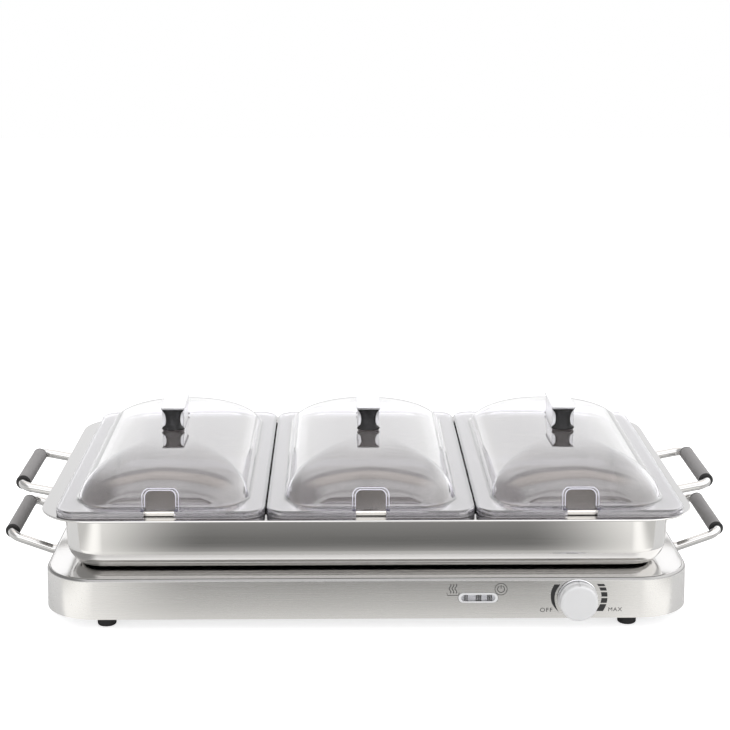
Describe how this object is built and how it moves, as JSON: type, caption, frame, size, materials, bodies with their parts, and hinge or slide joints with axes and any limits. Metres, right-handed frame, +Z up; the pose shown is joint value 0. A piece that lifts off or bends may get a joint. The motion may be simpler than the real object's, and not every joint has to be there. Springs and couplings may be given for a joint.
{
  "type": "electric food warmer tray",
  "caption": "Flat heated base with a lift-off pan tray, three food pans, clear domed lift-off lids, carry handles and a temperature knob.",
  "frame": {"origin": "on the table, under the middle of the part's box", "axes": "+X to the right along the front, +Y towards the back, +Z up; the control knob faces -Y"},
  "size_m": [0.6502, 0.352, 0.16],
  "materials": {
    "brushed_steel": "horizontal brushing, satin",
    "polished_steel": "polished steel",
    "plain_steel": "plain mill finish",
    "bright_trim": "bright silver plating",
    "black_rubber": "matt moulded",
    "grip_rubber": "matt, fine grain",
    "black_plastic": "semi-gloss moulded",
    "silver_plastic": "satin silver paint",
    "white_plastic": "matt moulded",
    "mica_board": "pressed mica",
    "glass_wool": "felted fibre",
    "wire_sleeve": "silicone sleeve",
    "clear_plastic": "clear, glossy, faint violet edge",
    "lamp_red": "clear tinted lamp"
  },
  "bodies": {
    "base": {"base_housing": "brushed_steel", "bottom_cover": "plain_steel", "heating_mat": "mica_board", "insulation_pad": "glass_wool", "pressure_plate": "plain_steel", "thermal_fuse": "white_plastic", "thermostat_body": "black_plastic", "thermostat_nut": "plain_steel", "knob_bezel": "bright_trim", "lamp_window": "clear_plastic", "lamp_holder": "black_plastic", "heat_lamp": "lamp_red", "power_lamp": "lamp_red", "cord_gland": "black_rubber", "terminal_block": "white_plastic", "wire_live": "wire_sleeve", "wire_heater": "wire_sleeve", "wire_return": "wire_sleeve", "foot_front_left": "black_rubber", "foot_screw_front_left": "plain_steel", "plate_nut_front_left": "plain_steel", "base_handle_nut_front_left": "plain_steel", "foot_front_right": "black_rubber", "foot_screw_front_right": "plain_steel", "plate_nut_front_right": "plain_steel", "base_handle_nut_front_right": "plain_steel", "foot_rear_left": "black_rubber", "foot_screw_rear_left": "plain_steel", "plate_nut_rear_left": "plain_steel", "base_handle_nut_rear_left": "plain_steel", "foot_rear_right": "black_rubber", "foot_screw_rear_right": "plain_steel", "plate_nut_rear_right": "plain_steel", "base_handle_nut_rear_right": "plain_steel", "base_handle_bar_left": "polished_steel", "base_grip_left": "grip_rubber", "base_handle_bar_right": "polished_steel", "base_grip_right": "grip_rubber"},
    "control_knob": {"knob_cap": "silver_plastic", "thermostat_shaft": "plain_steel"},
    "tray": {"tray_shell": "brushed_steel", "tray_handle_bar_left": "polished_steel", "tray_handle_bar_right": "polished_steel", "tray_grip_left": "grip_rubber", "tray_grip_right": "grip_rubber"},
    "pan_left": {"pan_left": "polished_steel"},
    "lid_left": {"lid_dome_left": "clear_plastic", "lid_handle_core_left": "black_plastic", "lid_handle_cover_left": "bright_trim", "lid_screw_left": "plain_steel"},
    "pan_middle": {"pan_middle": "polished_steel"},
    "lid_middle": {"lid_dome_middle": "clear_plastic", "lid_handle_core_middle": "black_plastic", "lid_handle_cover_middle": "bright_trim", "lid_screw_middle": "plain_steel"},
    "pan_right": {"pan_right": "polished_steel"},
    "lid_right": {"lid_dome_right": "clear_plastic", "lid_handle_core_right": "black_plastic", "lid_handle_cover_right": "bright_trim", "lid_screw_right": "plain_steel"}
  },
  "joints": [
    {"name": "knob_turn", "type": "hinge", "parent": "base", "child": "control_knob", "pos_m": [0.17627, -0.1642, 0.02889], "axis": [0, 1, 0], "range_deg": [-125, 125]},
    {"name": "tray_lift", "type": "slide", "parent": "base", "child": "tray", "axis": [0, 0, 1], "range_m": [0, 0.12]},
    {"name": "pan_left_lift", "type": "slide", "parent": "tray", "child": "pan_left", "axis": [0, 0, 1], "range_m": [0, 0.08]},
    {"name": "pan_middle_lift", "type": "slide", "parent": "tray", "child": "pan_middle", "axis": [0, 0, 1], "range_m": [0, 0.08]},
    {"name": "pan_right_lift", "type": "slide", "parent": "tray", "child": "pan_right", "axis": [0, 0, 1], "range_m": [0, 0.08]},
    {"name": "lid_left_lift", "type": "slide", "parent": "pan_left", "child": "lid_left", "axis": [0, 0, 1], "range_m": [0, 0.1]},
    {"name": "lid_middle_lift", "type": "slide", "parent": "pan_middle", "child": "lid_middle", "axis": [0, 0, 1], "range_m": [0, 0.1]},
    {"name": "lid_right_lift", "type": "slide", "parent": "pan_right", "child": "lid_right", "axis": [0, 0, 1], "range_m": [0, 0.1]}
  ]
}
